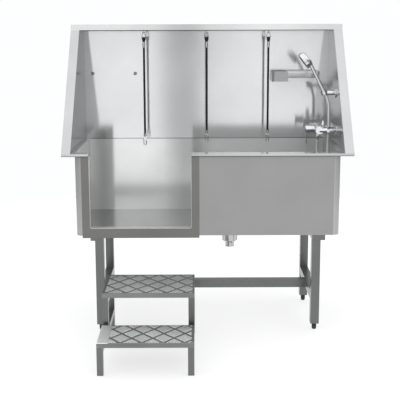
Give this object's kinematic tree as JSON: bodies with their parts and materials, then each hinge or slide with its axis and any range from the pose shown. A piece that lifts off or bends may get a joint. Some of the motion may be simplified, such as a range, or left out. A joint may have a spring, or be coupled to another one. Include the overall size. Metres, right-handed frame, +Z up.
{
  "type": "pet bathtub",
  "caption": "Raised stainless steel dog washing tub with a walk-in doorway, splash guards, tethers, mixer with hand shower, leg frame and loose steps.",
  "frame": {"origin": "on the floor, in the middle of the whole footprint, steps included", "axes": "+Z up, +Y from the tub's open front to its back, +X to the right as seen from the front"},
  "size_m": [1.27, 1.14, 1.353],
  "materials": {
    "tub_steel": "fine brushed stainless sheet",
    "front_steel": "brushed stainless sheet, satin",
    "surround_steel": "brushed stainless sheet, darker satin",
    "splash_steel": "bright brushed stainless sheet, half mirror",
    "frame_steel": "brushed stainless tube",
    "tread_plate": "embossed tread plate, worn satin",
    "polished_steel": "polished stainless",
    "chrome": "polished chrome",
    "spray_face": "grey spray plate with soft nozzles",
    "brass": "plain turned brass",
    "rubber_seal": "soft black rubber",
    "bolt_steel": "zinc bright",
    "nickel": "nickel plate",
    "black_cord": "braided black cord",
    "foot_plastic": "dark moulded plastic"
  },
  "bodies": {
    "tub": {"basin_floor": "tub_steel", "back_wall": "tub_steel", "side_wrap_left": "front_steel", "side_wrap_right": "front_steel", "door_surround": "surround_steel", "rim_left": "tub_steel", "rim_right": "tub_steel", "backsplash": "splash_steel", "splash_guard_left": "splash_steel", "splash_guard_right": "splash_steel", "top_ledge": "tub_steel", "panel_bolts": "bolt_steel", "frame_channel_left": "frame_steel", "frame_channel_right": "frame_steel", "leg_front_left": "frame_steel", "leg_front_right": "frame_steel", "leg_back_left": "frame_steel", "leg_back_right": "frame_steel", "side_stretcher_left": "frame_steel", "side_stretcher_right": "frame_steel", "cross_stretcher": "frame_steel", "drain_cup": "polished_steel", "drain_gasket": "rubber_seal", "drain_locknut": "brass", "drain_tailpiece": "polished_steel", "wall_studs": "bolt_steel", "mixer_body": "chrome", "inlet_unions": "chrome", "inlet_backnuts": "brass", "shower_holder": "chrome", "hose_nut_bottom": "chrome", "shower_hose": "chrome", "tether_eyes": "bolt_steel"},
    "steps": {"step_side_left": "frame_steel", "step_side_right": "frame_steel", "lower_tread": "tread_plate", "upper_tread": "tread_plate"},
    "drain_basket": {"drain_basket": "polished_steel"},
    "mixer_handle": {"mixer_handle": "chrome"},
    "mixer_knob": {"mixer_knob": "chrome"},
    "hand_shower": {"handset_body": "chrome", "handset_face": "spray_face", "hose_nut_top": "chrome"},
    "soap_tray": {"soap_tray": "polished_steel"},
    "foot_front_left": {"foot_front_left": "foot_plastic"},
    "foot_front_right": {"foot_front_right": "foot_plastic"},
    "foot_back_left": {"foot_back_left": "foot_plastic"},
    "foot_back_right": {"foot_back_right": "foot_plastic"},
    "tether_left": {"tether_left_ends": "nickel", "tether_left_cord": "black_cord"},
    "snap_left": {"tether_left_snap": "nickel"},
    "bolt_left": {"tether_left_bolt": "nickel"},
    "tether_middle": {"tether_middle_ends": "nickel", "tether_middle_cord": "black_cord"},
    "snap_middle": {"tether_middle_snap": "nickel"},
    "bolt_middle": {"tether_middle_bolt": "nickel"},
    "tether_right": {"tether_right_ends": "nickel", "tether_right_cord": "black_cord"},
    "snap_right": {"tether_right_snap": "nickel"},
    "bolt_right": {"tether_right_bolt": "nickel"}
  },
  "joints": [
    {"name": "steps_slide", "type": "slide", "parent": "tub", "child": "steps", "axis": [0, -1, 0], "range_m": [0, 0.4]},
    {"name": "drain_basket_lift", "type": "slide", "parent": "tub", "child": "drain_basket", "axis": [0, 0, 1], "range_m": [0, 0.12]},
    {"name": "mixer_lever_turn", "type": "hinge", "parent": "tub", "child": "mixer_handle", "pos_m": [0.4765, 0.312, 0.87], "axis": [-1, 0, 0], "range_deg": [0, 100]},
    {"name": "mixer_knob_turn", "type": "hinge", "parent": "tub", "child": "mixer_knob", "pos_m": [0.535, 0.241, 0.9], "axis": [0, 0, 1], "range_deg": [0, 90]},
    {"name": "hand_shower_lift", "type": "slide", "parent": "tub", "child": "hand_shower", "axis": [-0.4509, 0, 0.8926], "range_m": [0, 0.06], "deforming": ["shower_hose"]},
    {"name": "soap_tray_lift", "type": "slide", "parent": "tub", "child": "soap_tray", "axis": [0, 0, 1], "range_m": [0, 0.014]},
    {"name": "foot_front_left_turn", "type": "hinge", "parent": "tub", "child": "foot_front_left", "pos_m": [-0.479, -0.015, 0.03], "axis": [0, 0, 1], "continuous": true},
    {"name": "foot_front_right_turn", "type": "hinge", "parent": "tub", "child": "foot_front_right", "pos_m": [0.479, -0.015, 0.03], "axis": [0, 0, 1], "continuous": true},
    {"name": "foot_back_left_turn", "type": "hinge", "parent": "tub", "child": "foot_back_left", "pos_m": [-0.479, 0.422, 0.03], "axis": [0, 0, 1], "continuous": true},
    {"name": "foot_back_right_turn", "type": "hinge", "parent": "tub", "child": "foot_back_right", "pos_m": [0.479, 0.422, 0.03], "axis": [0, 0, 1], "continuous": true},
    {"name": "tether_left_swing", "type": "hinge", "parent": "tub", "child": "tether_left", "pos_m": [-0.295, 0.386, 1.317], "axis": [1, 0, 0], "range_deg": [-60, 14]},
    {"name": "snap_left_swivel", "type": "hinge", "parent": "tether_left", "child": "snap_left", "pos_m": [-0.295, 0.386, 0.828], "axis": [0, 0, 1], "continuous": true},
    {"name": "bolt_left_pull", "type": "slide", "parent": "snap_left", "child": "bolt_left", "axis": [0, 0, 1], "range_m": [0, 0.007], "stiffness_N_per_m": 300, "springref_m": -0.005},
    {"name": "tether_middle_swing", "type": "hinge", "parent": "tub", "child": "tether_middle", "pos_m": [0, 0.386, 1.317], "axis": [1, 0, 0], "range_deg": [-60, 14]},
    {"name": "snap_middle_swivel", "type": "hinge", "parent": "tether_middle", "child": "snap_middle", "pos_m": [0, 0.386, 0.842], "axis": [0, 0, 1], "continuous": true},
    {"name": "bolt_middle_pull", "type": "slide", "parent": "snap_middle", "child": "bolt_middle", "axis": [0, 0, 1], "range_m": [0, 0.007], "stiffness_N_per_m": 300, "springref_m": -0.005},
    {"name": "tether_right_swing", "type": "hinge", "parent": "tub", "child": "tether_right", "pos_m": [0.29, 0.386, 1.317], "axis": [1, 0, 0], "range_deg": [-60, 14]},
    {"name": "snap_right_swivel", "type": "hinge", "parent": "tether_right", "child": "snap_right", "pos_m": [0.29, 0.386, 0.842], "axis": [0, 0, 1], "continuous": true},
    {"name": "bolt_right_pull", "type": "slide", "parent": "snap_right", "child": "bolt_right", "axis": [0, 0, 1], "range_m": [0, 0.007], "stiffness_N_per_m": 300, "springref_m": -0.005}
  ]
}
